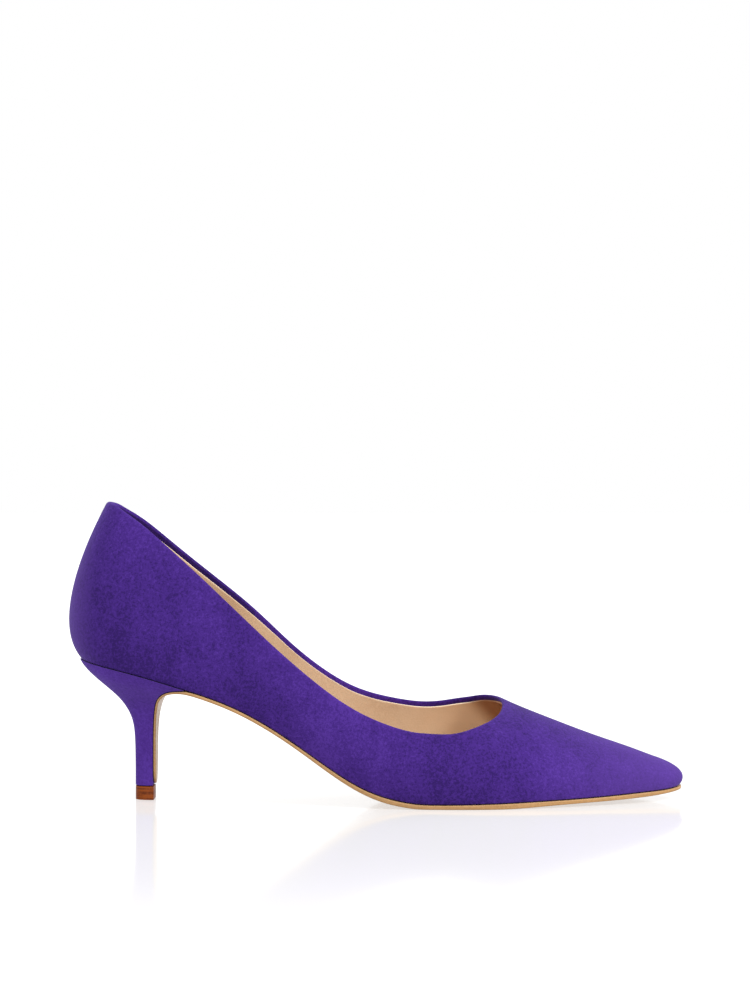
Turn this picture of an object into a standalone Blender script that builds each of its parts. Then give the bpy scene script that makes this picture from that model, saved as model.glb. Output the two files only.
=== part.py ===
"""Kitten heel pump for the right foot, empty and standing on its sole and heel tip.

The toe points along +X, the inner (medial) side is +Y and the outer (lateral) side is -Y.
Tables are in millimetres, in a frame whose X is zero near the middle of the shoe. Every section
of the upper is a rib: a curve from the sole edge, out and up the wall, to the crest of the last.
The topline is cut out of that surface, and the inner wall lies WALL inside the outer one.
"""

import math
from collections import namedtuple

import bmesh
import bpy
import numpy as np

MM = 0.001

# Driving sizes
WALL = 1.8
COUNTER_WALL = 2.6
COUNTER_LENGTH = 45.0
GAP = 0.3
INSOLE_THICKNESS = 2.4
SOLE_MARGIN = 0.5
HEEL_MARGIN = 0.4
FLAP_THICKNESS = 1.05
HEEL_ROUNDNESS = 2.3
TIP_HEIGHT = 5.8
TIP_FRONT_X = -92.9

# The throat, seen from above, is half an oval that ends in a rounded point on the crest
THROAT_START_X = 14.0
THROAT_TIP_X = 54.0
THROAT_CENTRE_Y = 1.5
THROAT_LATERAL_WIDTH = 33.7
THROAT_MEDIAL_WIDTH = 29.4
THROAT_POWER = 2.27

# Where the topline stops following a height and starts following the oval
LATERAL_BLEND_X = (14.0, 44.0)
MEDIAL_BLEND_X = (34.0, 48.0)
CROWN_RISE = 0.5

# Mesh density, in columns of each side and rows of the wall
REAR_COLUMNS = 20
THROAT_COLUMNS = 11
FRONT_COLUMNS = 15
WALL_ROWS = 10
CROSS_POINTS = 5
REAR_CROWDING = 1.25
FRONT_CROWDING = 1.3

Edge = namedtuple("Edge", "x lateral_y lateral_z medial_y medial_z")
SOLE_EDGE = (
    Edge(-123.9, 0.0, 59.3, 0.0, 59.3),
    Edge(-121.1, -10.2, 58.6, 10.2, 58.6),
    Edge(-112.5, -19.4, 56.8, 19.0, 57.0),
    Edge(-99.5, -24.6, 53.9, 24.0, 54.3),
    Edge(-82.0, -26.2, 48.8, 24.8, 49.8),
    Edge(-62.0, -25.8, 42.0, 22.6, 44.2),
    Edge(-42.0, -25.6, 31.4, 20.0, 35.0),
    Edge(-23.0, -27.6, 18.5, 19.6, 22.5),
    Edge(-5.0, -31.6, 7.5, 23.0, 10.3),
    Edge(12.0, -35.2, 2.7, 28.6, 3.4),
    Edge(30.0, -37.0, 2.1, 34.0, 2.2),
    Edge(46.0, -36.6, 2.4, 36.4, 2.4),
    Edge(62.0, -33.4, 2.8, 35.0, 2.8),
    Edge(78.0, -28.2, 3.2, 30.6, 3.2),
    Edge(94.0, -21.8, 3.7, 24.6, 3.7),
    Edge(108.0, -15.6, 4.4, 18.4, 4.4),
    Edge(118.5, -10.2, 4.9, 13.0, 4.9),
    Edge(125.6, -4.8, 5.6, 8.0, 5.6),
    Edge(128.0, 1.6, 6.2, 1.6, 6.2),
)

# Top of each rib: tilt is the rise per mm towards +Y, slope the rise per mm towards the toe
Crest = namedtuple("Crest", "x y z tilt slope")
CREST = (
    Crest(-96.2, 0.0, 150.0, 0.0, 0.0),
    Crest(-96.2, 0.0, 150.0, 0.0, 0.0),
    Crest(-95.4, 0.0, 150.0, 0.0, 0.0),
    Crest(-91.8, 0.0, 149.0, 0.0, 0.0),
    Crest(-80.0, 0.0, 146.0, 0.0, 0.0),
    Crest(-62.0, 0.0, 138.0, 0.04, 0.0),
    Crest(-42.0, 1.0, 121.0, 0.04, 0.0),
    Crest(-23.0, 2.0, 101.0, 0.08, 0.0),
    Crest(-5.0, 3.0, 82.0, 0.10, 0.0),
    Crest(12.0, 3.0, 66.0, 0.20, 0.0),
    Crest(30.0, 2.5, 52.0, 0.20, 0.0),
    Crest(46.0, 1.5, 43.75, 0.33, 0.0),
    Crest(62.0, 1.5, 38.1, 0.10, -0.34),
    Crest(78.0, 1.5, 31.95, 0.08, -0.35),
    Crest(93.5, 1.5, 26.3, 0.0, -0.34),
    Crest(105.5, 1.5, 22.2, 0.0, -0.36),
    Crest(112.5, 1.5, 19.55, 0.0, -0.37),
    Crest(116.0, 1.6, 18.25, 0.0, -0.36),
    Crest(117.2, 1.6, 17.85, 0.0, -0.34),
)

# How each rib leaves the sole edge (out, up) and reaches the crest (over, drop)
Handle = namedtuple("Handle", "out up over drop")
LATERAL_HANDLES = (
    Handle(15.8, 16.7, 21.0, 26.0),
    Handle(13.6, 17.2, 20.0, 25.0),
    Handle(8.5, 18.2, 16.5, 21.0),
    Handle(5.0, 19.0, 13.0, 17.0),
    Handle(5.3, 19.2, 17.5, 16.0),
    Handle(5.7, 18.0, 22.0, 15.0),
    Handle(7.9, 18.6, 26.0, 14.0),
    Handle(7.9, 19.5, 26.0, 11.0),
    Handle(6.4, 20.5, 24.0, 7.6),
    Handle(6.3, 23.3, 22.0, 3.6),
    Handle(4.0, 21.9, 20.0, 0.0),
    Handle(4.0, 24.0, 22.0, 0.0),
    Handle(3.5, 18.5, 18.0, 0.0),
    Handle(3.0, 14.5, 14.0, 0.0),
    Handle(2.6, 12.0, 10.5, 0.0),
    Handle(2.4, 10.0, 8.0, 0.0),
    Handle(2.4, 8.0, 7.0, 0.0),
    Handle(3.4, 6.0, 7.2, 0.0),
    Handle(4.3, 5.2, 7.8, 0.0),
)
MEDIAL_HANDLES = (
    Handle(15.8, 16.7, 21.0, 26.0),
    Handle(13.6, 17.2, 20.0, 25.0),
    Handle(8.7, 18.0, 16.5, 21.0),
    Handle(5.4, 18.6, 13.0, 17.0),
    Handle(5.7, 18.2, 17.5, 16.0),
    Handle(7.9, 17.8, 22.0, 15.0),
    Handle(14.5, 19.0, 24.0, 14.0),
    Handle(16.4, 19.5, 24.0, 11.0),
    Handle(14.0, 19.7, 22.0, 8.2),
    Handle(8.9, 22.4, 19.0, 1.8),
    Handle(4.5, 28.3, 18.0, 0.0),
    Handle(3.2, 30.6, 20.0, 0.0),
    Handle(3.2, 20.5, 18.0, 0.0),
    Handle(3.0, 15.5, 14.5, 0.0),
    Handle(2.6, 12.0, 11.0, 0.0),
    Handle(2.4, 10.0, 8.5, 0.0),
    Handle(2.4, 8.0, 7.0, 0.0),
    Handle(3.4, 6.0, 7.2, 0.0),
    Handle(4.3, 5.2, 7.8, 0.0),
)

Topline = namedtuple("Topline", "x lateral_z medial_z")
TOPLINE = (
    Topline(-113.1, 124.6, 124.6),
    Topline(-110.0, 123.7, 123.8),
    Topline(-106.0, 120.8, 121.2),
    Topline(-102.0, 118.4, 119.1),
    Topline(-92.0, 110.7, 111.3),
    Topline(-80.0, 100.4, 101.1),
    Topline(-66.0, 87.6, 89.8),
    Topline(-52.0, 74.3, 78.0),
    Topline(-38.0, 61.4, 64.3),
    Topline(-24.0, 49.7, 52.9),
    Topline(-10.0, 39.9, 44.6),
    Topline(4.0, 33.6, 40.5),
    Topline(16.0, 30.5, 38.6),
    Topline(28.0, 31.9, 38.9),
    Topline(40.0, 33.9, 41.6),
    Topline(50.0, 36.0, 43.2),
)

# Underside of the outsole along its lateral edge; below zero it is cut flat by the floor
Underside = namedtuple("Underside", "x z")
UNDERSIDE = (
    Underside(-77.5, 45.6),
    Underside(-64.0, 41.0),
    Underside(-47.5, 32.8),
    Underside(-31.0, 22.1),
    Underside(-15.0, 10.8),
    Underside(-6.5, 5.9),
    Underside(1.6, 2.5),
    Underside(10.0, 0.7),
    Underside(20.0, -0.2),
    Underside(38.0, -0.6),
    Underside(54.0, -0.1),
    Underside(71.0, 0.8),
    Underside(92.0, 1.5),
    Underside(109.0, 2.2),
    Underside(120.0, 3.1),
    Underside(128.5, 4.3),
)

# Heel sections from the seat down: back and front of each D, half its width, and the medial lift
HeelSection = namedtuple("HeelSection", "back_x back_z front_x front_z half_width lift")
HEEL_LIP_X = -78.5
HEEL = (
    HeelSection(-123.8, 58.1, -81.3, 47.2, 25.5, 1.1),
    HeelSection(-122.0, 55.6, -84.9, 46.95, 24.0, 0.8),
    HeelSection(-119.3, 52.8, -87.8, 45.85, 21.8, 0.5),
    HeelSection(-115.9, 49.85, -89.9, 44.1, 18.4, 0.2),
    HeelSection(-112.1, 46.65, -91.3, 42.0, 15.0, 0.0),
    HeelSection(-108.5, 43.5, -92.1, 39.3, 11.8, 0.0),
    HeelSection(-105.6, 40.1, -92.6, 36.3, 9.4, 0.0),
    HeelSection(-103.3, 36.3, -92.95, 33.1, 7.8, 0.0),
    HeelSection(-101.9, 32.4, -93.1, 29.9, 6.8, 0.0),
    HeelSection(-101.2, 27.0, -93.25, 26.0, 6.2, 0.0),
    HeelSection(-101.0, 18.0, -93.3, 18.0, 5.5, 0.0),
    HeelSection(-100.95, TIP_HEIGHT + GAP, -93.35, TIP_HEIGHT + GAP, 5.15, 0.0),
)

Finish = namedtuple("Finish", "color roughness metallic")
FINISHES = {
    "upper": Finish((0.075, 0.024, 0.26), 0.95, 0.0),
    "insole": Finish((0.55, 0.33, 0.17), 0.55, 0.0),
    "outsole": Finish((0.56, 0.33, 0.13), 0.45, 0.0),
    "heel": Finish((0.085, 0.028, 0.28), 0.92, 0.0),
    "heel_tip": Finish((0.25, 0.075, 0.018), 0.5, 0.0),
}


class Spline:
    """A smooth curve through rows of values at rising keys, closed on itself where asked."""

    def __init__(self, keys, values, closed=False):
        self.keys = np.asarray(keys, float)
        self.values = np.asarray(values, float).reshape(len(self.keys), -1)
        self.closed = closed
        self.slopes = self.solve_slopes()

    def solve_slopes(self):
        """The slope at each key that keeps the second derivative continuous."""
        count = len(self.keys)
        step = np.diff(self.keys)
        rise = np.diff(self.values, axis=0) / step[:, None]
        matrix = np.zeros((count, count))
        right = np.zeros_like(self.values)
        for i in range(1, count - 1):
            before, after = 1 / step[i - 1], 1 / step[i]
            matrix[i, i - 1 : i + 2] = before, 2 * (before + after), after
            right[i] = 3 * (before * rise[i - 1] + after * rise[i])
        if self.closed:
            before, after = 1 / step[-1], 1 / step[0]
            matrix[0, [0, 1, -2]] = 2 * (before + after), after, before
            right[0] = 3 * (before * rise[-1] + after * rise[0])
            matrix[-1, [0, -1]] = 1, -1
        else:
            matrix[0, :2] = 2, 1
            matrix[-1, -2:] = 1, 2
            right[0], right[-1] = 3 * rise[0], 3 * rise[-1]
        return np.linalg.solve(matrix, right)

    def __call__(self, key):
        first, last = self.keys[0], self.keys[-1]
        if self.closed:
            key = first + (key - first) % (last - first)
        i = int(np.clip(np.searchsorted(self.keys, key, side="right") - 1, 0, len(self.keys) - 2))
        step = self.keys[i + 1] - self.keys[i]
        u = (key - self.keys[i]) / step
        return (
            self.values[i] * (1 + 2 * u) * (1 - u) ** 2
            + self.slopes[i] * step * u * (1 - u) ** 2
            + self.values[i + 1] * (3 - 2 * u) * u**2
            + self.slopes[i + 1] * step * (u - 1) * u**2
        )


def bisect(is_past, low, high):
    """The point between low and high where is_past turns true."""
    for _ in range(36):
        middle = (low + high) / 2
        if is_past(middle):
            high = middle
        else:
            low = middle
    return (low + high) / 2


def smooth_share(value, start, end):
    """0 up to start, 1 from end on, and an S curve between."""
    share = np.clip((value - start) / (end - start), 0.0, 1.0)
    return share * share * (3 - 2 * share)


def wall_at(x):
    """Thickness of the upper: the counter stiffens it behind the heel."""
    back = SOLE_EDGE[0].x
    return COUNTER_WALL + (WALL - COUNTER_WALL) * smooth_share(x, back, back + COUNTER_LENGTH)


def unit(vector):
    return vector / np.linalg.norm(vector)


class Last:
    """The surface of the last: closed splines around the foot of the four points of each rib."""

    def __init__(self):
        lateral = [self.rib(e.x, e.lateral_y, e.lateral_z, c, h)
                   for e, c, h in zip(SOLE_EDGE, CREST, LATERAL_HANDLES)]
        medial = [self.rib(e.x, e.medial_y, e.medial_z, c, h)
                  for e, c, h in zip(SOLE_EDGE, CREST, MEDIAL_HANDLES)]
        keys = [0.0]
        for i in range(1, len(SOLE_EDGE)):
            steps = [np.linalg.norm(side[i][:3] - side[i - 1][:3]) for side in (lateral, medial)]
            keys.append(keys[-1] + sum(steps) / 2)
        self.toe = keys[-1]
        ring_keys = keys + [2 * self.toe - key for key in keys[-2::-1]]
        self.ribs = Spline(ring_keys, lateral + medial[-2::-1], closed=True)
        self.lateral_top = Spline([t.x for t in TOPLINE], [t.lateral_z for t in TOPLINE])
        self.medial_top = Spline([t.x for t in TOPLINE], [t.medial_z for t in TOPLINE])
        self.throat_start = self.key_at(THROAT_START_X, 0.0)
        self.throat_tip = self.key_at(THROAT_TIP_X, 1.0)

    @staticmethod
    def rib(x, y, z, crest, handle):
        """The four control points of one rib, as twelve numbers."""
        foot = np.array((x, y, z))
        head = np.array((crest.x, crest.y, crest.z))
        away = unit((foot - head) * (1, 1, 0))
        leave = foot + away * handle.out + np.array((0, 0, handle.up))
        fall = (crest.slope * away[0] + crest.tilt * away[1]) * handle.over - handle.drop
        reach = head + away * handle.over + np.array((0, 0, fall))
        return np.concatenate((foot, leave, reach, head))

    def point(self, key, v, side):
        """A point of the outer surface: v is 0 at the sole edge and 1 at the crest."""
        p = self.ribs(key if side < 0 else 2 * self.toe - key).reshape(4, 3)
        weights = ((1 - v) ** 3, 3 * v * (1 - v) ** 2, 3 * v**2 * (1 - v), v**3)
        return sum(weight * corner for weight, corner in zip(weights, p))

    def key_at(self, x, v):
        return bisect(lambda key: self.point(key, v, -1)[0] > x, 0.0, self.toe)

    def above_topline(self, point, side):
        """Positive where a point of the surface lies inside the opening of the shoe."""
        x, y, z = point
        top = (self.lateral_top if side < 0 else self.medial_top)(x)[0]
        by_height = (z - top) / (THROAT_TIP_X - THROAT_START_X)
        width = THROAT_LATERAL_WIDTH if y < THROAT_CENTRE_Y else THROAT_MEDIAL_WIDTH
        along = max(x - THROAT_START_X, 0.0) / (THROAT_TIP_X - THROAT_START_X)
        across = abs(y - THROAT_CENTRE_Y) / width
        by_plan = 1 - along**THROAT_POWER - across**THROAT_POWER
        ease = smooth_share(x, *(LATERAL_BLEND_X if side < 0 else MEDIAL_BLEND_X))
        return by_height * (1 - ease) + by_plan * ease

    def topline_v(self, key, side):
        return bisect(lambda v: self.above_topline(self.point(key, v, side), side) > 0, 0.1, 1.0)

    def throat_key(self, x, side):
        """The rib whose topline point lies at x."""
        return bisect(
            lambda key: self.point(key, self.topline_v(key, side), side)[0] > x,
            self.throat_start - 1.0,
            self.throat_tip,
        )

    def columns(self, side):
        """Columns of points up the wall, from the back of the heel to the tip of the toe."""
        ends = []
        for i in range(REAR_COLUMNS):
            key = self.throat_start * (i / REAR_COLUMNS) ** REAR_CROWDING
            ends.append((key, key, self.topline_v(key, side)))
        for i in range(THROAT_COLUMNS):
            share = i / THROAT_COLUMNS
            foot = self.throat_start + (self.throat_tip - self.throat_start) * share
            reach = math.sin(share * math.pi / 2)
            x = THROAT_START_X + (THROAT_TIP_X - THROAT_START_X) * reach
            head = self.throat_key(x, side)
            ends.append((foot, head, self.topline_v(head, side)))
        for i in range(FRONT_COLUMNS + 1):
            share = 1 - (1 - i / FRONT_COLUMNS) ** FRONT_CROWDING
            key = self.throat_tip + (self.toe - self.throat_tip) * share
            ends.append((key, key, 1.0))
        rows = [row / WALL_ROWS for row in range(WALL_ROWS + 1)]
        return np.array([
            [self.point(foot + (head - foot) * share, top * share, side) for share in rows]
            for foot, head, top in ends
        ])


TIP_COLUMN = REAR_COLUMNS + THROAT_COLUMNS
TOE_COLUMN = TIP_COLUMN + FRONT_COLUMNS


class Feather:
    """The surface that the upper and insole stand on, ruled between the two sole edges."""

    def __init__(self, lateral, medial):
        self.lateral, self.medial = lateral, medial

    def edges(self, x):
        """(y, z) of the lateral and of the medial sole edge at x."""
        return [
            [np.interp(x, edge[:, 0], edge[:, axis]) for axis in (1, 2)]
            for edge in (self.lateral, self.medial)
        ]

    def share(self, x, y):
        """How far across the sole a point lies, from 0 at the lateral edge to 1."""
        (low, _), (high, _) = self.edges(x)
        return min(max((y - low) / max(high - low, 0.5), 0.0), 1.0)

    def z(self, x, y):
        (_, lateral_z), (_, medial_z) = self.edges(x)
        return lateral_z + (medial_z - lateral_z) * self.share(x, y)

    def outline(self, margin):
        """The sole edges, each moved out by a margin in plan."""
        moved = []
        for edge, side in ((self.lateral, -1), (self.medial, 1)):
            tangent = np.gradient(edge[:, :2], axis=0)
            tangent[0], tangent[-1] = (0, side), (0, -side)
            outward = np.stack((-side * tangent[:, 1], side * tangent[:, 0]), axis=1)
            outward /= np.linalg.norm(outward, axis=1)[:, None]
            moved.append(edge[:, :2] + outward * margin)
        return moved


def new_object(name, bm, parent):
    """Makes a mesh object of a closed bmesh, shaded smooth with its own material."""
    bmesh.ops.recalc_face_normals(bm, faces=bm.faces)
    mesh = bpy.data.meshes.new(name)
    bm.to_mesh(mesh)
    bm.free()
    mesh.shade_smooth()
    mesh.set_sharp_from_angle(angle=math.radians(40))
    finish = FINISHES[name]
    material = bpy.data.materials.new(name)
    material.use_nodes = True
    shader = material.node_tree.nodes["Principled BSDF"]
    shader.inputs["Base Color"].default_value = (*finish.color, 1.0)
    shader.inputs["Roughness"].default_value = finish.roughness
    shader.inputs["Metallic"].default_value = finish.metallic
    mesh.materials.append(material)
    piece = bpy.data.objects.new(name, mesh)
    piece.parent = parent
    bpy.context.scene.collection.objects.link(piece)
    return piece


def add_verts(bm, points):
    return [bm.verts.new(np.asarray(point) * MM) for point in points]


def skin(bm, first, second):
    """Faces between two rows of vertices, one of which may be a single vertex."""
    if len(first) == 1:
        first = first * len(second)
    if len(second) == 1:
        second = second * len(first)
    for i in range(len(first) - 1):
        corners = dict.fromkeys((first[i], first[i + 1], second[i + 1], second[i]))
        if len(corners) > 2:
            bm.faces.new(list(corners))


def slab(bm, tops, bottoms):
    """A closed sheet between rows of points above and below; an end row may be one point."""
    tops = [add_verts(bm, row) for row in tops]
    bottoms = [add_verts(bm, row) for row in bottoms]
    for rows in (tops, bottoms):
        for first, second in zip(rows, rows[1:]):
            skin(bm, first, second)
    for end in (0, -1):
        skin(bm, [row[end] for row in tops], [row[end] for row in bottoms])
    for end in (0, -1):
        if len(tops[end]) > 1:
            skin(bm, tops[end], bottoms[end])


def cross_row(start, end, height):
    """Points across the sole from one side to the other, with height(x, y) as their z."""
    start, end = np.asarray(start)[:2], np.asarray(end)[:2]
    if np.allclose(start, end):
        return [(*start, height(*start))]
    shares = np.linspace(0, 1, CROSS_POINTS)
    return [(*p, height(*p)) for p in (start + (end - start) * share for share in shares)]


def ring_of(lateral, medial):
    """One closed ring of columns: along the lateral side to the toe, back along the medial."""
    return np.concatenate((lateral, medial[-2:0:-1]))


def shared_grid(bm, ring):
    """Vertices of a ring of columns; ahead of the throat both sides meet in one crest vertex."""
    grid = [add_verts(bm, column[:-1]) for column in ring]
    for i, column in enumerate(ring):
        partner = len(ring) - i
        is_shared = i > TOE_COLUMN and partner >= TIP_COLUMN
        grid[i].append(grid[partner][-1] if is_shared else add_verts(bm, column[-1:])[0])
    return grid


def grid_faces(bm, grid):
    """Faces between a closed ring of columns, turned outwards."""
    for first, second in zip(grid, grid[1:] + grid[:1]):
        skin(bm, second, first)


def topline_of(ring):
    """The columns that end in the topline, in order round the opening."""
    return ring[: TIP_COLUMN + 1] + ring[len(ring) - TIP_COLUMN + 1 :]


def outer_normals(ring):
    """Outward normals of the outer wall, for each point of the ring of columns."""
    bm = bmesh.new()
    grid = shared_grid(bm, ring)
    grid_faces(bm, grid)
    bm.normal_update()
    normals = np.array([[np.array(vertex.normal) for vertex in column] for column in grid])
    bm.free()
    return normals


def inner_wall(ring, normals, feather):
    """The inner face of the wall; its lowest points move level, onto the feather."""
    walls = wall_at(ring[:, :, :1])
    inner = ring - normals * walls
    level = normals[:, 0] * (1, 1, 0)
    level /= np.linalg.norm(level, axis=1)[:, None]
    inner[:, 0] = ring[:, 0] - level * walls[:, 0]
    for column in inner:
        column[0][2] = feather.z(*column[0][:2])
    return inner


def make_upper(ring, inner, normals, parent):
    """The hollow upper: outer and inner wall, joined by a rounded topline and a flat edge below."""
    bm = bmesh.new()
    outer_grid, inner_grid = shared_grid(bm, ring), shared_grid(bm, inner)
    grid_faces(bm, outer_grid)
    grid_faces(bm, inner_grid)
    foot, inner_foot = [[column[0] for column in grid] for grid in (outer_grid, inner_grid)]
    skin(bm, foot + foot[:1], inner_foot + inner_foot[:1])

    order = topline_of(list(range(len(ring))))
    edge = ring[order, -1]
    along = np.roll(edge, -1, axis=0) - np.roll(edge, 1, axis=0)
    rise = np.cross(normals[order, -1], along)
    rise /= np.linalg.norm(rise, axis=1)[:, None]
    rise *= wall_at(edge[:, :1]) * CROWN_RISE
    crown = add_verts(bm, (edge + inner[order, -1]) / 2 + rise)
    crown += crown[:1]
    for grid in (outer_grid, inner_grid):
        rim = [grid[i][-1] for i in order]
        skin(bm, rim + rim[:1], crown)
    return new_object("upper", bm, parent)


def point_at_height(column, height):
    """Where a column of the inner wall passes a height above its lowest point, in plan."""
    rise = column[:, 2] - column[0, 2]
    return np.array([np.interp(height, rise[:3], column[:3, axis]) for axis in (0, 1)])


def make_insole(inner, normals, feather, parent):
    """The insole inside the wall: it follows the wall's inner face at both its heights."""
    level = normals[:, 0, :2]
    level = level / np.linalg.norm(level, axis=1)[:, None]
    loops = [
        np.array([point_at_height(column, height) for column in inner]) - level * GAP
        for height in (0.0, INSOLE_THICKNESS)
    ]
    floors = (feather.z, lambda x, y: feather.z(x, y) + INSOLE_THICKNESS)
    bottoms, tops = [
        [cross_row(loop[i], loop[-i], floor) for i in range(TOE_COLUMN + 1)]
        for loop, floor in zip(loops, floors)
    ]
    bm = bmesh.new()
    slab(bm, tops, bottoms)
    return new_object("insole", bm, parent)


def breast_rows():
    """Front edge of each heel section, lateral and medial end, from the seat to the tip."""
    return np.array([
        [
            (section.front_x, -section.half_width, section.front_z),
            (section.front_x, section.half_width, section.front_z + section.lift),
        ]
        for section in HEEL
    ])


def make_outsole(feather, parent):
    """The outsole: under the foot from toe to waist, then down the breast of the heel as a flap."""
    under = Spline([u.x for u in UNDERSIDE], [u.z for u in UNDERSIDE])

    def top_z(x, y):
        return feather.z(x, y) - GAP

    def bottom_z(x, y):
        return max(under(x)[0] + feather.z(x, y) - feather.edges(x)[0][1], 0.0)

    lateral, medial = feather.outline(SOLE_MARGIN)
    pairs = [pair for pair in zip(lateral, medial) if pair[0][0] > UNDERSIDE[0].x + 1]
    edges = feather.edges(UNDERSIDE[0].x)
    pairs.insert(0, [(UNDERSIDE[0].x, y) for y, _ in edges])
    tops = [cross_row(*pair, top_z) for pair in reversed(pairs)]
    bottoms = [cross_row(*pair, bottom_z) for pair in reversed(pairs)]

    breast = breast_rows()
    tangent = np.gradient(breast.mean(axis=1), axis=0)
    forward = np.stack((-tangent[:, 2], np.zeros(len(HEEL)), tangent[:, 0]), axis=1)
    forward /= np.linalg.norm(forward, axis=1)[:, None]
    shares = np.linspace(0, 1, CROSS_POINTS)[:, None]
    for (start, end), away in zip(breast, forward):
        row = start + (end - start) * shares
        tops.append(row + away * GAP)
        bottoms.append(row + away * (GAP + FLAP_THICKNESS))
    bm = bmesh.new()
    slab(bm, tops, bottoms)
    return new_object("outsole", bm, parent)


def d_section(section, spread):
    """A D in a plane from its round back to its straight front, as lateral and medial halves."""
    halves = []
    for side in (-1, 1):
        half = []
        for u in spread:
            width = section.half_width * (1 - (1 - u) ** HEEL_ROUNDNESS) ** (1 / HEEL_ROUNDNESS)
            lift = section.lift * u if side > 0 else 0.0
            half.append((
                section.back_x + (section.front_x - section.back_x) * u,
                side * width,
                section.back_z + (section.front_z - section.back_z) * u + lift,
            ))
        halves.append(half)
    return halves


def loft(bm, sections):
    """A closed solid through D sections, each given as its lateral and medial halves."""
    rings = []
    for lateral, medial in sections:
        left = add_verts(bm, lateral)
        rings.append((left, left[:1] + add_verts(bm, medial[1:])))
    for (left, right), (next_left, next_right) in zip(rings, rings[1:]):
        skin(bm, left, next_left)
        skin(bm, right, next_right)
        skin(bm, [left[-1], right[-1]], [next_left[-1], next_right[-1]])
    for left, right in (rings[0], rings[-1]):
        skin(bm, left, right)


def make_heel(feather, parent):
    """The covered heel: the seat follows the sole edge, and the stem narrows to the tip."""
    seat = []
    for edge in feather.outline(HEEL_MARGIN):
        kept = [point for point in edge if point[0] < HEEL_LIP_X - 2]
        y = np.interp(HEEL_LIP_X, edge[:, 0], edge[:, 1])
        seat.append([(*p, feather.z(*p) - GAP) for p in (*kept, (HEEL_LIP_X, y))])
    count = min(len(half) for half in seat)
    seat = [half[: count - 1] + half[-1:] for half in seat]
    back, front = seat[0][0][0], seat[0][-1][0]
    spread = [(point[0] - back) / (front - back) for point in seat[0]]
    bm = bmesh.new()
    loft(bm, [seat] + [d_section(section, spread) for section in HEEL])
    return new_object("heel", bm, parent)


def make_heel_tip(parent):
    """The hard top piece that the heel stands on."""
    spread = [1 - math.cos(step * math.pi / 16) for step in range(9)]
    last = HEEL[-1]
    ends = [
        HeelSection(last.back_x, z, TIP_FRONT_X, z, last.half_width, 0.0)
        for z in (TIP_HEIGHT, 0.0)
    ]
    bm = bmesh.new()
    loft(bm, [d_section(end, spread) for end in ends])
    return new_object("heel_tip", bm, parent)


def centre_on_box(parent, pieces):
    """Moves the shoe so that the middle of its box's floor is at the origin."""
    corners = np.array([vertex.co for piece in pieces for vertex in piece.data.vertices])
    low, high = corners.min(axis=0), corners.max(axis=0)
    parent.location = (-(low[0] + high[0]) / 2, -(low[1] + high[1]) / 2, -low[2])


def main():
    for obj in list(bpy.data.objects):
        bpy.data.objects.remove(obj)
    shoe = bpy.data.objects.new("shoe", None)
    bpy.context.scene.collection.objects.link(shoe)

    last = Last()
    lateral, medial = last.columns(-1), last.columns(1)
    feather = Feather(lateral[:, 0], medial[:, 0])
    ring = ring_of(lateral, medial)
    normals = outer_normals(ring)
    inner = inner_wall(ring, normals, feather)
    pieces = [
        make_upper(ring, inner, normals, shoe),
        make_insole(inner, normals, feather, shoe),
        make_outsole(feather, shoe),
        make_heel(feather, shoe),
        make_heel_tip(shoe),
    ]
    centre_on_box(shoe, pieces)


main()
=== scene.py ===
"""Kitten heel pump for the right foot: suede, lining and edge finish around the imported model.

The toe points along +X, the inner side of the foot is +Y and the camera stands on the outer
side, at -Y. Lengths are in metres.
"""

from __future__ import annotations

import logging
import math
from collections.abc import Callable, Iterable, Sequence
from dataclasses import dataclass
from enum import IntEnum

import bmesh
import bpy
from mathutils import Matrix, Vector


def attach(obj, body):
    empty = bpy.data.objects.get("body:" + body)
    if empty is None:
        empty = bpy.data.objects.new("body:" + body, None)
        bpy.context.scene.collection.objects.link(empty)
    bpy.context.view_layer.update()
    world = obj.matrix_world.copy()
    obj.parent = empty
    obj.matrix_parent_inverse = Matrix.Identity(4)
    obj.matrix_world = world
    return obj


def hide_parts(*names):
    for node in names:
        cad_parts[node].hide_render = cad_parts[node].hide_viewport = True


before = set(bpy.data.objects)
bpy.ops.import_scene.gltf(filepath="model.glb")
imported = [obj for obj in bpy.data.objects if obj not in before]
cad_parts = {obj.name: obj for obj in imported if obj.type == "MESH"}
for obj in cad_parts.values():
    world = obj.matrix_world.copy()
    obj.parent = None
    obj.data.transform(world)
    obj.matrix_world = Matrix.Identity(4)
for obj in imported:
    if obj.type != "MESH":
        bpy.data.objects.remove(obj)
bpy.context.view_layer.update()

MM = 0.001
BODY = "root"
WELD = 1e-6
CORNER = math.radians(40)
LEAST_SLANT = 0.35
MOST_SHARE = 0.8
ROUND_SEGMENTS = 2
SHEET_CREASE = 0.6

logging.basicConfig(level=logging.INFO, format="%(name)s: %(message)s")
log = logging.getLogger("pump")

Triple = tuple[float, float, float]
Color = Triple

# Sockets of a Mix node in colour mode: its two colours and its result.
MIX_FIRST = 6
MIX_SECOND = 7
MIX_RESULT = 2


class Wall(IntEnum):
    """The regions of the upper's closed skin, and its material slots while it is cut up."""

    OUTER = 0
    RIM = 1
    INNER = 2
    FEATHER = 3
    FOLD = 4


class Plate(IntEnum):
    """The regions of a thin plate such as the sole, which are also its material slots."""

    BELOW = 0
    ABOVE = 1
    EDGE = 2
    EDGE_LINE = 3


# Materials


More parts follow.
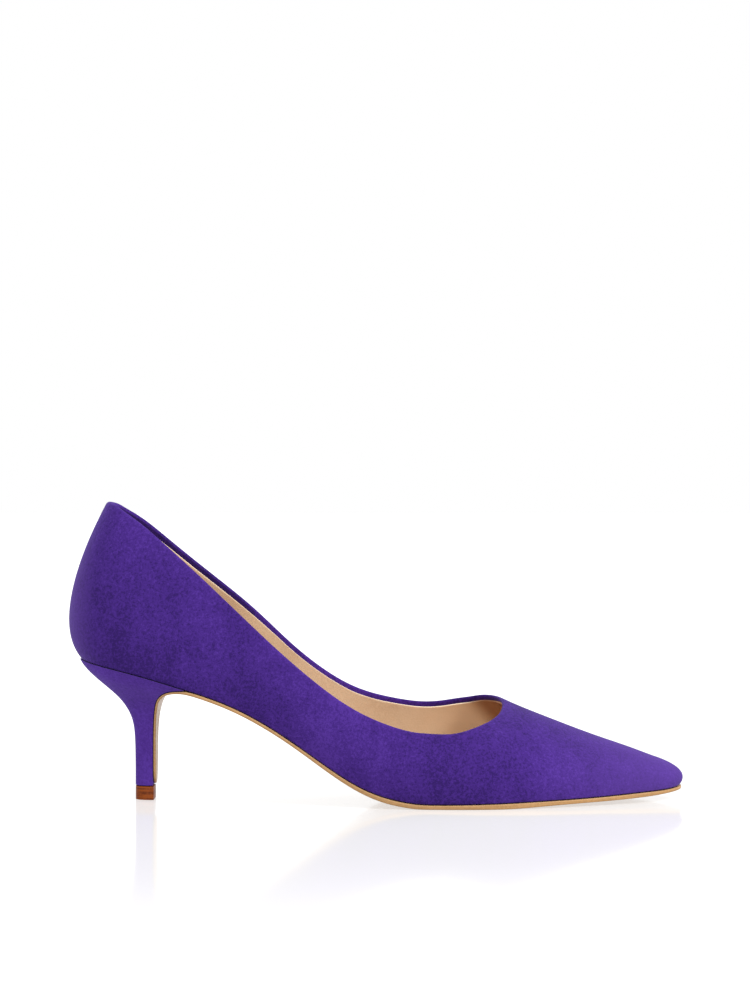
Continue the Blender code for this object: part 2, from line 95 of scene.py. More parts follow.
class Graph:
    """A material's node tree, with short calls for the nodes that the finishes share."""

    def __init__(self, name: str) -> None:
        """Start a material that holds only its shader and its output."""
        self.material = bpy.data.materials.new(name)
        self.material.use_nodes = True
        self.tree = self.material.node_tree
        self.shader = self.tree.nodes["Principled BSDF"]
        self.place = self.tree.nodes.new("ShaderNodeTexCoord").outputs["Object"]

    def set(self, **values: float | Color) -> None:
        """Set the shader's own sockets; an underscore stands for a space in a socket's name."""
        for name, value in values.items():
            socket = self.shader.inputs[name.replace("_", " ")]
            socket.default_value = (*value, 1.0) if isinstance(value, tuple) else value

    def link(self, output: bpy.types.NodeSocket, socket: str) -> None:
        """Join an output to one of the shader's sockets."""
        self.tree.links.new(output, self.shader.inputs[socket])

    def stretched(self, scale: Triple, turn: Triple = (0.0, 0.0, 0.0)) -> bpy.types.NodeSocket:
        """Object coordinates, turned and then scaled along each axis."""
        node = self.tree.nodes.new("ShaderNodeMapping")
        node.vector_type = "POINT"
        node.inputs["Rotation"].default_value = turn
        node.inputs["Scale"].default_value = scale
        self.tree.links.new(self.place, node.inputs["Vector"])
        return node.outputs["Vector"]

    def noise(
        self,
        size_mm: float,
        detail: float = 2.0,
        vector: bpy.types.NodeSocket | None = None,
        distortion: float = 0.0,
    ) -> bpy.types.NodeSocket:
        """Noise whose blotches are about size_mm across.

        Args:
            size_mm: Width of a blotch.
            detail: Octaves of finer noise in it.
            vector: Coordinates, or the object's own.
            distortion: How far the blotches are warped.

        Returns:
            The noise's value, from 0 to 1.
        """
        node = self.tree.nodes.new("ShaderNodeTexNoise")
        node.inputs["Scale"].default_value = 1.0 / (size_mm * MM)
        node.inputs["Detail"].default_value = detail
        node.inputs["Distortion"].default_value = distortion
        self.tree.links.new(vector or self.place, node.inputs["Vector"])
        return node.outputs["Fac"]

    def spread(
        self,
        value: bpy.types.NodeSocket,
        low: float,
        high: float,
        out_low: float = 0.0,
        out_high: float = 1.0,
    ) -> bpy.types.NodeSocket:
        """Stretch a range of a value onto another range, clamped and eased at both ends."""
        node = self.tree.nodes.new("ShaderNodeMapRange")
        node.interpolation_type = "SMOOTHSTEP"
        ends = {"From Min": low, "From Max": high, "To Min": out_low, "To Max": out_high}
        for socket, number in ends.items():
            node.inputs[socket].default_value = number
        self.tree.links.new(value, node.inputs["Value"])
        return node.outputs["Result"]

    def math(
        self,
        operation: str,
        first: bpy.types.NodeSocket | float,
        second: bpy.types.NodeSocket | float = 0.0,
    ) -> bpy.types.NodeSocket:
        """One step of arithmetic on sockets or numbers."""
        node = self.tree.nodes.new("ShaderNodeMath")
        node.operation = operation
        for socket, value in zip(node.inputs, (first, second)):
            if isinstance(value, (int, float)):
                socket.default_value = value
            else:
                self.tree.links.new(value, socket)
        return node.outputs["Value"]

    def mixture(
        self, values: Sequence[bpy.types.NodeSocket], shares: Sequence[float]
    ) -> bpy.types.NodeSocket:
        """The sum of some values, each times its share."""
        total = self.math("MULTIPLY", values[0], shares[0])
        for value, share in zip(values[1:], shares[1:]):
            total = self.math("ADD", total, self.math("MULTIPLY", value, share))
        return total

    def axis(self, name: str) -> bpy.types.NodeSocket:
        """One of the object's coordinates: X, Y or Z."""
        node = self.tree.nodes.new("ShaderNodeSeparateXYZ")
        self.tree.links.new(self.place, node.inputs["Vector"])
        return node.outputs[name]

    def curve(
        self, value: bpy.types.NodeSocket, steps: tuple[tuple[float, float], ...]
    ) -> bpy.types.NodeSocket:
        """A smooth curve through a few points, for a tone that changes along the shoe.

        Args:
            value: The distance along the curve, in metres.
            steps: Pairs of a distance in millimetres and the level there, from 0 to 1.

        Returns:
            The level.
        """
        start, end = steps[0][0], steps[-1][0]
        node = self.tree.nodes.new("ShaderNodeValToRGB")
        node.color_ramp.interpolation = "EASE"
        marks = node.color_ramp.elements
        while len(marks) < len(steps):
            marks.new(0.5)
        for mark, (place, level) in zip(marks, steps):
            mark.position = (place - start) / (end - start)
            mark.color = (level, level, level, 1.0)
        even = self.math("SUBTRACT", value, start * MM)
        self.tree.links.new(self.math("DIVIDE", even, (end - start) * MM), node.inputs["Fac"])
        return node.outputs["Color"]

    def blend(
        self,
        share: bpy.types.NodeSocket,
        first: Color | bpy.types.NodeSocket,
        second: Color | bpy.types.NodeSocket,
    ) -> bpy.types.NodeSocket:
        """Mix two colours by a share from 0 to 1."""
        node = self.tree.nodes.new("ShaderNodeMix")
        node.data_type = "RGBA"
        self.tree.links.new(share, node.inputs["Factor"])
        for place, value in ((MIX_FIRST, first), (MIX_SECOND, second)):
            socket = node.inputs[place]
            if isinstance(value, tuple):
                socket.default_value = (*value, 1.0)
            else:
                self.tree.links.new(value, socket)
        return node.outputs[MIX_RESULT]

    def bump(
        self,
        height: bpy.types.NodeSocket,
        depth_mm: float,
        strength: float = 1.0,
        below: bpy.types.NodeSocket | None = None,
    ) -> bpy.types.NodeSocket:
        """Relief of a given depth, laid over another relief where one is given."""
        node = self.tree.nodes.new("ShaderNodeBump")
        node.inputs["Strength"].default_value = strength
        node.inputs["Distance"].default_value = depth_mm * MM
        self.tree.links.new(height, node.inputs["Height"])
        if below is not None:
            self.tree.links.new(below, node.inputs["Normal"])
        return node.outputs["Normal"]


# Painted light and shade along the upper's suede, partly from its brushed nap: pairs of X in millimetres
# and a level from 0 to 1.
PAINTED_LIGHT_ALONG = (
    (-127.0, 0.40),
    (-115.0, 0.30),
    (-90.0, 0.12),
    (-60.0, 0.35),
    (-40.0, 0.50),
    (-20.0, 0.86),
    (0.0, 0.52),
    (15.0, 0.32),
    (35.0, 0.28),
    (60.0, 0.40),
    (80.0, 0.50),
)
# The level that leaves the suede's tone as it is.
NEUTRAL = 0.5


@dataclass(frozen=True)
class BrushingAndPaintedLight:
    """Painted light and shade along the upper, partly from its brushed nap, with a painted sheen at the
    toe and the back and painted light towards the collar.

    The places are in millimetres of X, and of Z at the collar.
    """

    painted_sheen: Color
    reach: float = 0.2
    collar: tuple[float, float] = (85.0, 112.0)
    collar_painted_light: float = 0.07
    toe: tuple[float, float] = (55.0, 125.0)
    toe_share: float = 0.42
    back: tuple[float, float] = (-127.0, -114.0)
    back_share: float = 0.46

    def lift(self, graph: Graph, tone: bpy.types.NodeSocket) -> bpy.types.NodeSocket:
        """The tone, with painted light and shade by its place along the shoe, and painted light towards
        the collar.
        """
        # Painted light and shade along the shoe, partly from the brushed nap.
        level = graph.math("SUBTRACT", graph.curve(graph.axis("X"), PAINTED_LIGHT_ALONG), NEUTRAL)
        tone = graph.math("ADD", tone, graph.math("MULTIPLY", level, self.reach))
        # Painted light towards the collar: lighter the higher the suede stands.
        low, high = self.collar
        collar = graph.spread(graph.axis("Z"), low * MM, high * MM, 0.0, self.collar_painted_light)
        return graph.math("ADD", tone, collar)

    def over(self, graph: Graph, colour: bpy.types.NodeSocket) -> bpy.types.NodeSocket:
        """The colour, with a painted sheen laid over the toe and the back."""
        along = graph.axis("X")
        low, high = self.toe
        toe = graph.spread(along, low * MM, high * MM, 0.0, self.toe_share)
        low, high = self.back
        back = graph.spread(along, low * MM, high * MM, self.back_share, 0.0)
        # Painted sheen over the toe and the back.
        return graph.blend(graph.math("ADD", toe, back), colour, self.painted_sheen)


@dataclass(frozen=True)
class BackSeam:
    """The seam that runs down the middle of the back."""

    half_width_mm: float = 0.15
    soft_mm: float = 0.55
    ahead_mm: float = -108.0
    fade_mm: float = 1.0
    depth_mm: float = 0.5

    def share(self, graph: Graph) -> bpy.types.NodeSocket:
        """1 in the seam, and 0 beside it."""
        beside = graph.math("ABSOLUTE", graph.axis("Y"))
        line = graph.spread(beside, self.half_width_mm * MM, self.soft_mm * MM, 1.0, 0.0)
        start, end = self.ahead_mm - self.fade_mm, self.ahead_mm
        behind = graph.spread(graph.axis("X"), start * MM, end * MM, 1.0, 0.0)
        return graph.math("MULTIPLY", line, behind)


@dataclass(frozen=True)
class Suede:
    """Napped suede: brushed clouds, short blotches of nap and a fine fibrous grain.

    Each relief is a depth in millimetres and a strength.
    """

    name: str
    deep: Color
    middle: Color
    lit: Color
    cloud_mm: float = 30.0
    blotch_mm: float = 5.5
    nap_mm: float = 1.1
    fibre_mm: float = 0.45
    shares: tuple[float, float, float, float] = (0.24, 0.14, 0.34, 0.28)
    steps: tuple[float, float, float] = (0.39, 0.50, 0.61)
    brush_turn: float = math.radians(24)
    brush_length: float = 0.6
    blotch_relief: tuple[float, float] = (0.25, 0.35)
    nap_relief: tuple[float, float] = (0.14, 0.6)
    fibre_relief: tuple[float, float] = (0.06, 0.8)
    sheen: float = 0.08
    brushing_and_painted_light: BrushingAndPaintedLight | None = None
    seam: BackSeam | None = None

    def material(self) -> bpy.types.Material:
        """Build the material."""
        graph = Graph(self.name)
        brushed = graph.stretched((1.0, 1.0, self.brush_length), (0.0, self.brush_turn, 0.0))
        cloud = graph.noise(self.cloud_mm, 2.0, brushed, 0.3)
        blotch = graph.noise(self.blotch_mm, 3.0, brushed, 0.4)
        nap = graph.noise(self.nap_mm, 3.0)
        fibre = graph.noise(self.fibre_mm, 2.0)
        tone = graph.mixture((cloud, blotch, nap, fibre), self.shares)
        # Painted light and shade along the upper, where given.
        if self.brushing_and_painted_light:
            tone = self.brushing_and_painted_light.lift(graph, tone)
        first, second, third = self.steps
        low = graph.blend(graph.spread(tone, first, second), self.deep, self.middle)
        colour = graph.blend(graph.spread(tone, second, third), low, self.lit)
        # A painted sheen at the toe and the back, where given.
        if self.brushing_and_painted_light:
            colour = self.brushing_and_painted_light.over(graph, colour)
        relief = graph.bump(blotch, *self.blotch_relief)
        if self.seam:
            groove = self.seam.share(graph)
            colour = graph.blend(groove, colour, self.deep)
            relief = graph.bump(groove, -self.seam.depth_mm, 1.0, relief)
        graph.link(colour, "Base Color")
        relief = graph.bump(nap, *self.nap_relief, relief)
        relief = graph.bump(fibre, *self.fibre_relief, relief)
        graph.link(relief, "Normal")
        graph.set(
            Roughness=0.92,
            Specular_IOR_Level=0.12,
            Sheen_Weight=self.sheen,
            Sheen_Roughness=0.45,
            Sheen_Tint=(0.62, 0.50, 1.0),
        )
        return graph.material


@dataclass(frozen=True)
class ThroatShade:
    """Painted light on the lining past the arch, and painted shade under the vamp.

    The places are in millimetres of X, and under the vamp of X and Z together, so that the dark
    part leans back towards the rim.
    """

    painted_light_ahead: Color
    painted_shade_under_vamp: Color
    past_arch: tuple[float, float] = (8.0, 38.0)
    ahead_share: float = 0.8
    vamp: tuple[float, float] = (70.0, 82.0)
    lean: float = 0.9

    def over(self, graph: Graph, colour: bpy.types.NodeSocket) -> bpy.types.NodeSocket:
        """The colour, with the painted light and the painted shade laid over it."""
        along = graph.axis("X")
        low, high = self.past_arch
        share = graph.spread(along, low * MM, high * MM, 0.0, self.ahead_share)
        # Painted light past the arch.
        colour = graph.blend(share, colour, self.painted_light_ahead)
        # Painted shade under the vamp.
        inward = graph.math("ADD", along, graph.math("MULTIPLY", graph.axis("Z"), self.lean))
        low, high = self.vamp
        return graph.blend(graph.spread(inward, low * MM, high * MM), colour, self.painted_shade_under_vamp)


@dataclass(frozen=True)
class SmoothLeather:
    """Fine-grained leather with pores and faint handling marks, and where given painted light and shade
    towards the throat.
    """

    name: str
    dark: Color
    light: Color
    roughness: float = 0.5
    grain_mm: float = 0.55
    patch_mm: float = 26.0
    shares: tuple[float, float] = (0.6, 0.4)
    steps: tuple[float, float] = (0.35, 0.65)
    uneven: float = 0.07
    shade: ThroatShade | None = None

    def material(self) -> bpy.types.Material:
        """Build the material."""
        graph = Graph(self.name)
        patch = graph.noise(self.patch_mm, 3.0)
        grain = graph.noise(self.grain_mm, 3.0)
        tone = graph.mixture((patch, grain), self.shares)
        colour = graph.blend(graph.spread(tone, *self.steps), self.dark, self.light)
        if self.shade:
            colour = self.shade.over(graph, colour)
        graph.link(colour, "Base Color")
        smooth, matt = self.roughness - self.uneven, self.roughness + self.uneven
        graph.link(graph.spread(patch, *self.steps, smooth, matt), "Roughness")
        graph.link(graph.bump(grain, 0.05, 0.5), "Normal")
        graph.set(Specular_IOR_Level=0.35)
        return graph.material


@dataclass(frozen=True)
class EdgePaint:
    """The sanded and painted edge of the sole: fine lines that run along it."""

    name: str
    dark: Color
    light: Color
    line_mm: float = 0.35
    line_stretch: Triple = (0.02, 0.02, 1.0)
    speck_mm: float = 1.2
    shares: tuple[float, float] = (0.55, 0.45)
    steps: tuple[float, float] = (0.36, 0.64)
    roughness: float = 0.42

    def material(self) -> bpy.types.Material:
        """Build the material."""
        graph = Graph(self.name)
        lines = graph.noise(self.line_mm, 2.0, graph.stretched(self.line_stretch))
        speck = graph.noise(self.speck_mm, 3.0)
        tone = graph.mixture((lines, speck), self.shares)
        graph.link(graph.blend(graph.spread(tone, *self.steps), self.dark, self.light), "Base Color")
        graph.link(graph.bump(lines, 0.04, 0.5), "Normal")
        graph.set(Roughness=self.roughness, Specular_IOR_Level=0.2, Coat_Weight=0.05, Coat_Roughness=0.35)
        return graph.material


@dataclass(frozen=True)
class StackedRubber:
    """The hard top piece, pressed in fine layers."""

    name: str
    dark: Color
    light: Color
    layer_mm: float = 0.55
    layer_stretch: Triple = (0.05, 0.05, 1.0)
    fleck_mm: float = 0.8
    shares: tuple[float, float] = (0.65, 0.35)
    steps: tuple[float, float] = (0.36, 0.62)

    def material(self) -> bpy.types.Material:
        """Build the material."""
        graph = Graph(self.name)
        layers = graph.noise(self.layer_mm, 2.0, graph.stretched(self.layer_stretch))
        fleck = graph.noise(self.fleck_mm, 3.0)
        tone = graph.mixture((layers, fleck), self.shares)
        graph.link(graph.blend(graph.spread(tone, *self.steps), self.dark, self.light), "Base Color")
        graph.link(graph.bump(layers, 0.08, 0.6), "Normal")
        graph.set(Roughness=0.45, Specular_IOR_Level=0.15)
        return graph.material


@dataclass(frozen=True)
class FloorPaint:
    """A pale floor with a faint reflection, which glows a little so that its shadows stay pale.

    The floor is painted darker close to the shoe, as a pool of shade: the tint changes with the square of
    the distance from the shoe, in square metres.
    """

    name: str = "floor_white"
    painted_shade_near: Color = (0.25, 0.247, 0.245)
    far: Color = (0.45, 0.45, 0.45)
    reach: tuple[float, float] = (0.01, 0.16)
    glow: float = 0.55

    def material(self) -> bpy.types.Material:
        """Build the material."""
        graph = Graph(self.name)
        x, y = graph.axis("X"), graph.axis("Y")
        distance = graph.math("ADD", graph.math("MULTIPLY", x, x), graph.math("MULTIPLY", y, y))
        # Painted shade: the floor is darker close to the shoe.
        graph.link(graph.blend(graph.spread(distance, *self.reach), self.painted_shade_near, self.far), "Base Color")
        graph.set(
            Roughness=0.1,
            Specular_IOR_Level=0.047,
            Emission_Color=(1.0, 1.0, 1.0),
            Emission_Strength=self.glow,
        )
        return graph.material


UPPER_SUEDE = Suede(
    "upper_suede",
    (0.022, 0.0065, 0.090),
    (0.040, 0.0125, 0.152),
    (0.060, 0.0210, 0.210),
    # Painted light and shade along the upper, partly from its brushed nap, with a painted sheen at the
    # toe and the back.
    brushing_and_painted_light=BrushingAndPaintedLight(painted_sheen=(0.090, 0.042, 0.240)),
    seam=BackSeam(),
)
# A darker copy of the upper's suede: painted shade inside the back of the collar.
SHADED_GRIP_SUEDE = Suede(
    "grip_suede_painted_shade",
    (0.014, 0.0045, 0.060),
    (0.024, 0.0075, 0.096),
    (0.036, 0.0120, 0.130),
    sheen=0.1,
)
HEEL_SUEDE = Suede(
    "heel_suede",
    (0.043, 0.0145, 0.158),
    (0.059, 0.0200, 0.206),
    (0.075, 0.0280, 0.258),
    cloud_mm=22.0,
)
LINING_TAN = SmoothLeather(
    "lining_tan",
    (0.48, 0.32, 0.195),
    (0.58, 0.415, 0.27),
    0.55,
    # Painted light past the arch and painted shade under the vamp.
    shade=ThroatShade(painted_light_ahead=(0.80, 0.555, 0.345), painted_shade_under_vamp=(0.30, 0.13, 0.055)),
)
LINING_EDGE = SmoothLeather(
    "lining_cut_edge",
    (0.80, 0.62, 0.42),
    (0.90, 0.74, 0.55),
    0.7,
    # Painted light and shade towards the throat on the lining's cut edge.
    shade=ThroatShade(painted_light_ahead=(0.85, 0.68, 0.50), painted_shade_under_vamp=(0.30, 0.14, 0.07)),
)
SOCK_TAN = SmoothLeather("sock_tan", (0.52, 0.32, 0.18), (0.64, 0.41, 0.25), 0.45)
SOLE_EDGE = EdgePaint("sole_edge", (0.315, 0.172, 0.066), (0.395, 0.218, 0.090))
SOLE_EDGE_LINE = EdgePaint("sole_edge_line", (0.36, 0.200, 0.080), (0.43, 0.248, 0.105))
SOLE_TREAD = SmoothLeather("sole_tread", (0.40, 0.25, 0.13), (0.50, 0.32, 0.18), 0.38, 0.8)
TOP_PIECE = StackedRubber("top_piece_brown", (0.105, 0.018, 0.001), (0.23, 0.049, 0.004))


# Mesh helpers


def quads_of(node: str) -> bmesh.types.BMesh:
    """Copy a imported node's mesh, weld its loose triangles and join them into quads."""
    bm = bmesh.new()
    bm.from_mesh(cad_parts[node].data)
    bmesh.ops.remove_doubles(bm, verts=bm.verts, dist=WELD)
    bm.normal_update()
    for edge in bm.edges:
        edge.smooth = edge.calc_face_angle(0.0) < CORNER
    bmesh.ops.join_triangles(
        bm,
        faces=bm.faces,
        cmp_seam=False,
        cmp_sharp=True,
        cmp_uvs=False,
        cmp_vcols=False,
        cmp_materials=False,
        angle_face_threshold=math.pi,
        angle_shape_threshold=math.pi,
        topology_influence=2.0,
    )
    for edge in bm.edges:
        edge.smooth = True
    for layer in list(bm.loops.layers.uv.values()):
        bm.loops.layers.uv.remove(layer)
    bm.normal_update()
    return bm


def flood(
    seed: bmesh.types.BMFace, most: float, within: set[bmesh.types.BMFace]
) -> set[bmesh.types.BMFace]:
    """Faces reached from a seed without crossing an edge bent more than an angle.

    Args:
        seed: The face to start from.
        most: The largest bend that is crossed, in radians.
        within: The faces that may be reached.

    Returns:
        The faces reached, the seed among them.
    """
    found, front = {seed}, [seed]
    while front:
        face = front.pop()
        for side in face.edges:
            for other in side.link_faces:
                if other in found or other not in within:
                    continue
                if face.normal.angle(other.normal) < most:
                    found.add(other)
                    front.append(other)
    return found


def tag(faces: Iterable[bmesh.types.BMFace], region: int) -> None:
    """Mark faces as one region of the mesh."""
    for face in faces:
        face.material_index = region


def border(bm: bmesh.types.BMesh, first: int, second: int) -> list[bmesh.types.BMEdge]:
    """Edges between two regions of the mesh."""
    return [
        edge for edge in bm.edges if {face.material_index for face in edge.link_faces} == {first, second}
    ]


def add_loop(
    bm: bmesh.types.BMesh,
    edges: list[bmesh.types.BMEdge],
    region: int,
    depth: Callable[[Vector], float],
) -> None:
    """Cut a loop into a region, at a distance from the edges that bound it.

    Args:
        bm: The mesh to cut.
        edges: The closed loop of edges that the cut follows.
        region: The region that is cut.
        depth: The distance of the cut from the edges, at a point.
    """
    loop = {vert for edge in edges for vert in edge.verts}
    along = {}
    for vert in loop:
        ends = [edge.other_vert(vert) for edge in vert.link_edges if edge in edges]
        along[vert] = (ends[0].co - ends[-1].co).normalized()
    cuts = []
    for vert in loop:
        for spoke in list(vert.link_edges):
            other = spoke.other_vert(vert)
            if other in loop or any(face.material_index != region for face in spoke.link_faces):
                continue
            reach = other.co - vert.co
            slant = max(math.sin(reach.angle(along[vert])), LEAST_SLANT)
            share = min(depth(vert.co) / (reach.length * slant), MOST_SHARE)
            cuts.append(bmesh.utils.edge_split(spoke, vert, share)[1])
    bmesh.ops.connect_verts(bm, verts=cuts)


def round_edges(
    bm: bmesh.types.BMesh, edges: list[bmesh.types.BMEdge], offset: float, clamp: bool = False
) -> None:
    """Round some edges of a mesh.

    Args:
        bm: The mesh.
        edges: The edges to round.
        offset: How far from each edge the rounding starts.
        clamp: Whether it stops short of the next edge.
    """
    bmesh.ops.bevel(
        bm,
        geom=edges,
        offset=offset,
        offset_type="OFFSET",
        segments=ROUND_SEGMENTS,
        profile=0.5,
        affect="EDGES",
        clamp_overlap=clamp,
        material=-1,
    )


def piece_of(
    name: str, bm: bmesh.types.BMesh, materials: list[bpy.types.Material]
) -> bpy.types.Object:
    """Turn a bmesh into a smooth piece that rides on the shoe.

    Args:
        name: The piece's name.
        bm: Its mesh, which is freed.
        materials: Its material slots.

    Returns:
        The new object.
    """
    mesh = bpy.data.meshes.new(name)
    for material in materials:
        mesh.materials.append(material)
    for face in bm.faces:
        face.material_index = min(face.material_index, len(materials) - 1)
    bm.to_mesh(mesh)
    bm.free()
    mesh.shade_smooth()
    piece = bpy.data.objects.new(name, mesh)
    bpy.context.scene.collection.objects.link(piece)
    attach(piece, BODY)
    return piece


def settle(piece: bpy.types.Object) -> None:
    """Apply a piece's modifiers, so that its mesh is final."""
    bpy.context.view_layer.update()
    graph = bpy.context.evaluated_depsgraph_get()
    mesh = bpy.data.meshes.new_from_object(piece.evaluated_get(graph))
    piece.modifiers.clear()
    old, piece.data = piece.data, mesh
    bpy.data.meshes.remove(old)
    mesh.name = piece.name
    mesh.shade_smooth()
    log.info("%s: %d faces", piece.name, len(mesh.polygons))


def smooth_over(piece: bpy.types.Object, levels: int) -> None:
    """Add a subdivision surface to a piece."""
    modifier = piece.modifiers.new("subdivision", "SUBSURF")
    modifier.levels = modifier.render_levels = levels


def thicken(piece: bpy.types.Object, thickness: float, rim_slot: int = 0) -> None:
    """Give an open sheet its thickness, outwards along its normals."""
    modifier = piece.modifiers.new("thickness", "SOLIDIFY")
    modifier.thickness = thickness
    modifier.offset = 1.0
    modifier.use_even_offset = True
    modifier.use_quality_normals = True
    modifier.material_offset_rim = rim_slot
    modifier.edge_crease_inner = modifier.edge_crease_outer = SHEET_CREASE


# The shoe


@dataclass
class Upper:
    """The suede upper with its folded rim, its lining and the strip inside the back, painted dark as
    shade.
    """

    fold: float = 1.4 * MM
    back_fold: float = 1.9 * MM
    back_fold_from: float = -52.0 * MM
    rim_support: float = 1.1 * MM
    feather_round: float = 0.5 * MM
    lining_gap: float = 0.08 * MM
    lining_thickness: float = 0.6 * MM
    grip_thickness: float = 0.35 * MM
    level: float = 0.65
    levels: int = 2

    def cage(self) -> bmesh.types.BMesh:
        """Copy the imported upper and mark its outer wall, rim, inner wall and lower edge."""
        bm = quads_of("upper")
        crown = self.crown_of(bm)
        rim = {face for vert in crown for face in vert.link_faces}
        facing_down = {face for face in bm.faces if face.normal.z < -self.level}
        below = flood(min(bm.faces, key=lambda face: face.calc_center_median().z), math.pi, facing_down)
        left = set(bm.faces) - rim - below
        outer_seed = min(left, key=lambda face: face.calc_center_median().y)
        outer = flood(outer_seed, math.pi, left)
        inner = left - outer
        tag(outer, Wall.OUTER)
        tag(rim, Wall.RIM)
        tag(inner, Wall.INNER)
        tag(below, Wall.FEATHER)
        counts = (len(outer), len(rim), len(inner), len(below))
        log.info("upper: outer %d, rim %d, inner %d, below %d", *counts)
        add_loop(bm, border(bm, Wall.OUTER, Wall.RIM), Wall.OUTER, lambda point: self.rim_support)
        inner_rim = border(bm, Wall.INNER, Wall.RIM)
        loop = {vert for edge in inner_rim for vert in edge.verts}
        add_loop(bm, inner_rim, Wall.INNER, self.fold_at)
        inside = [face for face in bm.faces if face.material_index == Wall.INNER]
        tag([face for face in inside if loop & set(face.verts)], Wall.FOLD)
        return bm

    def crown_of(self, bm: bmesh.types.BMesh) -> set[bmesh.types.BMVert]:
        """The vertices of the sharp ridge that runs round the opening, found from its highest."""
        sharp = {edge for edge in bm.edges if edge.calc_face_angle(0.0) > CORNER}
        start = max({vert for edge in sharp for vert in edge.verts}, key=lambda vert: vert.co.z)
        crown, front = {start}, [start]
        while front:
            vert = front.pop()
            for edge in vert.link_edges:
                other = edge.other_vert(vert)
                if edge in sharp and other not in crown:
                    crown.add(other)
                    front.append(other)
        return crown

    def fold_at(self, point: Vector) -> float:
        """How far down the inside the suede is turned, at a point of the rim."""
        return self.back_fold if point.x < self.back_fold_from else self.fold

    def make_shell(self, cage: bmesh.types.BMesh) -> None:
        """The closed suede shell, with a rounded lower edge."""
        bm = cage.copy()
        round_edges(bm, border(bm, Wall.OUTER, Wall.FEATHER), self.feather_round)
        tag(bm.faces, 0)
        shell = piece_of("suede_upper", bm, [UPPER_SUEDE.material()])
        smooth_over(shell, self.levels)
        settle(shell)
        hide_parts("upper")

    def sheet_from(self, cage: bmesh.types.BMesh, regions: set[int]) -> bmesh.types.BMesh:
        """Copy the cage and keep only some of its regions."""
        bm = cage.copy()
        others = [face for face in bm.faces if face.material_index not in regions]
        bmesh.ops.delete(bm, geom=others, context="FACES")
        return bm

    def make_lining(self, cage: bmesh.types.BMesh) -> None:
        """The leather lining inside the wall, with its pale cut edge below the rim."""
        bm = self.sheet_from(cage, {Wall.INNER})
        tag(bm.faces, 0)
        for vert in bm.verts:
            vert.co += vert.normal * self.lining_gap
        lining = piece_of("lining", bm, [LINING_TAN.material(), LINING_EDGE.material()])
        thicken(lining, self.lining_thickness, rim_slot=1)
        smooth_over(lining, self.levels)
        settle(lining)

    def make_grip(self, cage: bmesh.types.BMesh) -> None:
        """The suede strip inside the back of the collar, which ends on both sides, painted dark as shade.
        """
        bm = self.sheet_from(cage, {Wall.FOLD})
        bmesh.ops.bisect_plane(
            bm,
            geom=bm.verts[:] + bm.edges[:] + bm.faces[:],
            plane_co=(self.back_fold_from, 0.0, 0.0),
            plane_no=(1.0, 0.0, 0.0),
            clear_outer=True,
        )
        tag(bm.faces, 0)
        for vert in bm.verts:
            vert.co += vert.normal * self.lining_gap
        grip = piece_of("collar_grip", bm, [SHADED_GRIP_SUEDE.material()])
        thicken(grip, self.grip_thickness)
        smooth_over(grip, self.levels)
        settle(grip)

    def build(self) -> None:
        """Make every piece of the upper."""
        cage = self.cage()
        self.make_shell(cage)
        self.make_lining(cage)
        self.make_grip(cage)
        cage.free()


@dataclass
class Sole:
    """The thin outsole with its painted edge, which turns down the breast of the heel."""

    lower_round: float = 0.55 * MM
    upper_round: float = 0.2 * MM
    line: float = 0.45 * MM
    bend_limit: float = math.radians(45)
    levels: int = 2

    def build(self) -> None:
        """Make the outsole."""
        bm = quads_of("outsole")
        left = set(bm.faces)
        below = flood(min(left, key=lambda face: face.calc_center_median().z), self.bend_limit, left)
        left -= below
        above = flood(max(left, key=lambda face: face.calc_center_median().z), self.bend_limit, left)
        tag(below, Plate.BELOW)
        tag(above, Plate.ABOVE)
        tag(left - above, Plate.EDGE)
        log.info("outsole: below %d, above %d, edge %d", len(below), len(above), len(left - above))
        top = border(bm, Plate.EDGE, Plate.ABOVE)
        loop = {vert for edge in top for vert in edge.verts}
        add_loop(bm, top, Plate.EDGE, lambda point: self.line)
        edge = [face for face in bm.faces if face.material_index == Plate.EDGE]
        tag([face for face in edge if loop & set(face.verts)], Plate.EDGE_LINE)
        round_edges(bm, border(bm, Plate.EDGE, Plate.BELOW), self.lower_round)
        round_edges(bm, border(bm, Plate.EDGE_LINE, Plate.ABOVE), self.upper_round)
        tread = SOLE_TREAD.material()
        sole = piece_of(
            "sole", bm, [tread, tread, SOLE_EDGE.material(), SOLE_EDGE_LINE.material()]
        )
        smooth_over(sole, self.levels)
        settle(sole)
        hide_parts("outsole")


@dataclass
class Heel:
    """The suede-covered heel, the top piece under it and the sock inside the shoe."""

    lip_round: float = 0.7 * MM
    tip_round: float = 0.25 * MM
    sock_round: float = 0.4 * MM
    corner: float = math.radians(38)
    levels: int = 2

    def rounded(self, node: str, offset: float) -> bmesh.types.BMesh:
        """Copy a node and round its sharp edges."""
        bm = quads_of(node)
        sharp = [edge for edge in bm.edges if edge.calc_face_angle(0.0) > self.corner]
        round_edges(bm, sharp, offset, clamp=True)
        return bm

    def build(self) -> None:
        """Make the heel, its top piece and the sock."""
        for name, node, offset, finish in (
            ("covered_heel", "heel", self.lip_round, HEEL_SUEDE),
            ("top_piece", "heel_tip", self.tip_round, TOP_PIECE),
            ("sock", "insole", self.sock_round, SOCK_TAN),
        ):
            bm = self.rounded(node, offset)
            piece = piece_of(name, bm, [finish.material()])
            smooth_over(piece, self.levels)
            settle(piece)
            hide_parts(node)


# The studio


@dataclass(frozen=True)
class Softbox:
    """One large soft light, aimed at a point."""

    name: str
    place: Triple
    aim: Triple
    power: float
    size: float = 0.9

    def build(self) -> None:
        """Make the light."""
        data = bpy.data.lights.new(self.name, "AREA")
        data.shape = "SQUARE"
        data.size = self.size
        data.energy = self.power
        light = bpy.data.objects.new(self.name, data)
        light.location = self.place
        light.rotation_euler = (Vector(self.aim) - Vector(self.place)).to_track_quat("-Z", "Y").to_euler()
        bpy.context.scene.collection.objects.link(light)


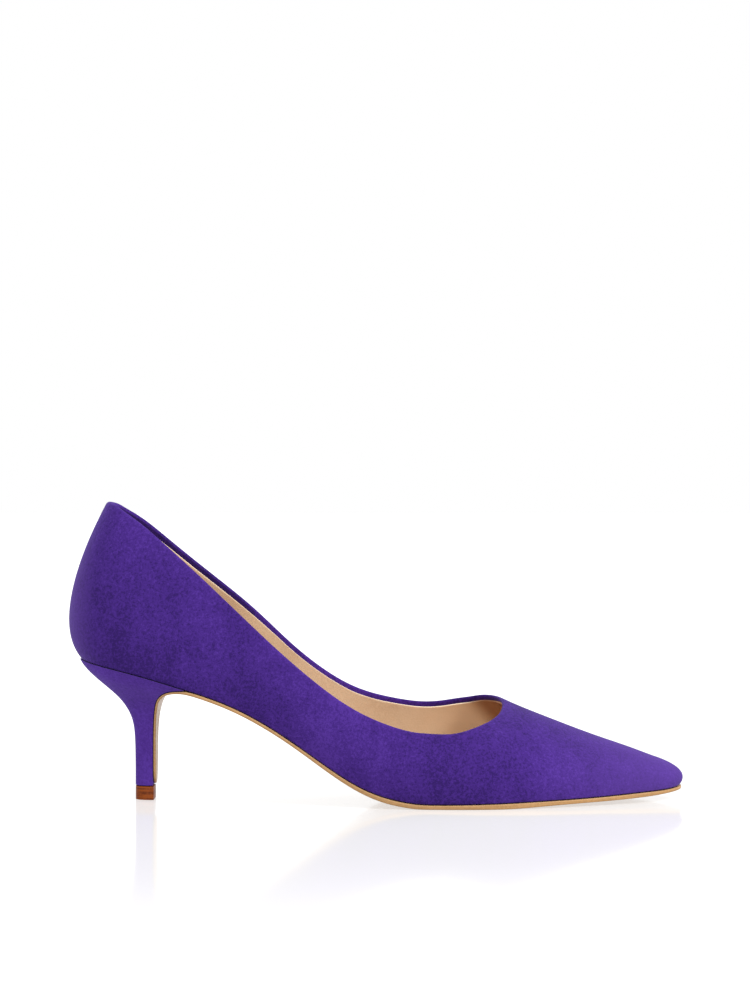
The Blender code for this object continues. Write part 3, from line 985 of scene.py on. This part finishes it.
SOFTBOXES = (
    Softbox("key", place=(1.5, -0.9, 1.4), aim=(0.0, 0.0, 0.04), power=45.0),
    Softbox("back", place=(-0.9, 0.9, 1.1), aim=(0.0, 0.0, 0.05), power=10.0),
    Softbox("fill", place=(-0.5, -1.5, 0.16), aim=(0.0, 0.0, 0.04), power=7.0),
)


@dataclass
class Studio:
    """A white floor, soft light and the camera of the photograph."""

    eye: Triple = (-0.47 * MM, -991.65 * MM, 125.5 * MM)
    lens: float = 85.0
    sensor: float = 36.0
    near_limit: float = 50.0 * MM
    floor_size: float = 40.0
    sky: float = 1.0

    def make_camera(self) -> None:
        """A level camera that looks along +Y."""
        data = bpy.data.cameras.new("camera")
        data.lens = self.lens
        data.sensor_width = self.sensor
        data.clip_start = self.near_limit
        camera = bpy.data.objects.new("camera", data)
        camera.location = self.eye
        camera.rotation_euler = (math.radians(90), 0.0, 0.0)
        bpy.context.scene.collection.objects.link(camera)
        bpy.context.scene.camera = camera

    def make_floor(self) -> None:
        """A wide flat floor."""
        bm = bmesh.new()
        bmesh.ops.create_grid(bm, x_segments=1, y_segments=1, size=self.floor_size / 2)
        mesh = bpy.data.meshes.new("floor")
        bm.to_mesh(mesh)
        bm.free()
        mesh.materials.append(FloorPaint().material())
        floor = bpy.data.objects.new("floor", mesh)
        bpy.context.scene.collection.objects.link(floor)

    def make_light(self) -> None:
        """A white surround and the softboxes."""
        world = bpy.data.worlds.new("surround")
        world.use_nodes = True
        surround = world.node_tree.nodes["Background"]
        surround.inputs["Color"].default_value = (1.0, 1.0, 1.0, 1.0)
        surround.inputs["Strength"].default_value = self.sky
        bpy.context.scene.world = world
        for softbox in SOFTBOXES:
            softbox.build()

    def build(self) -> None:
        """Set up the whole studio."""
        self.make_camera()
        self.make_floor()
        self.make_light()
        bpy.context.scene.view_settings.view_transform = "Standard"


def main() -> None:
    """Build the studio and the shoe."""
    Studio().build()
    Upper().build()
    Sole().build()
    Heel().build()


if __name__ == "__main__":
    main()
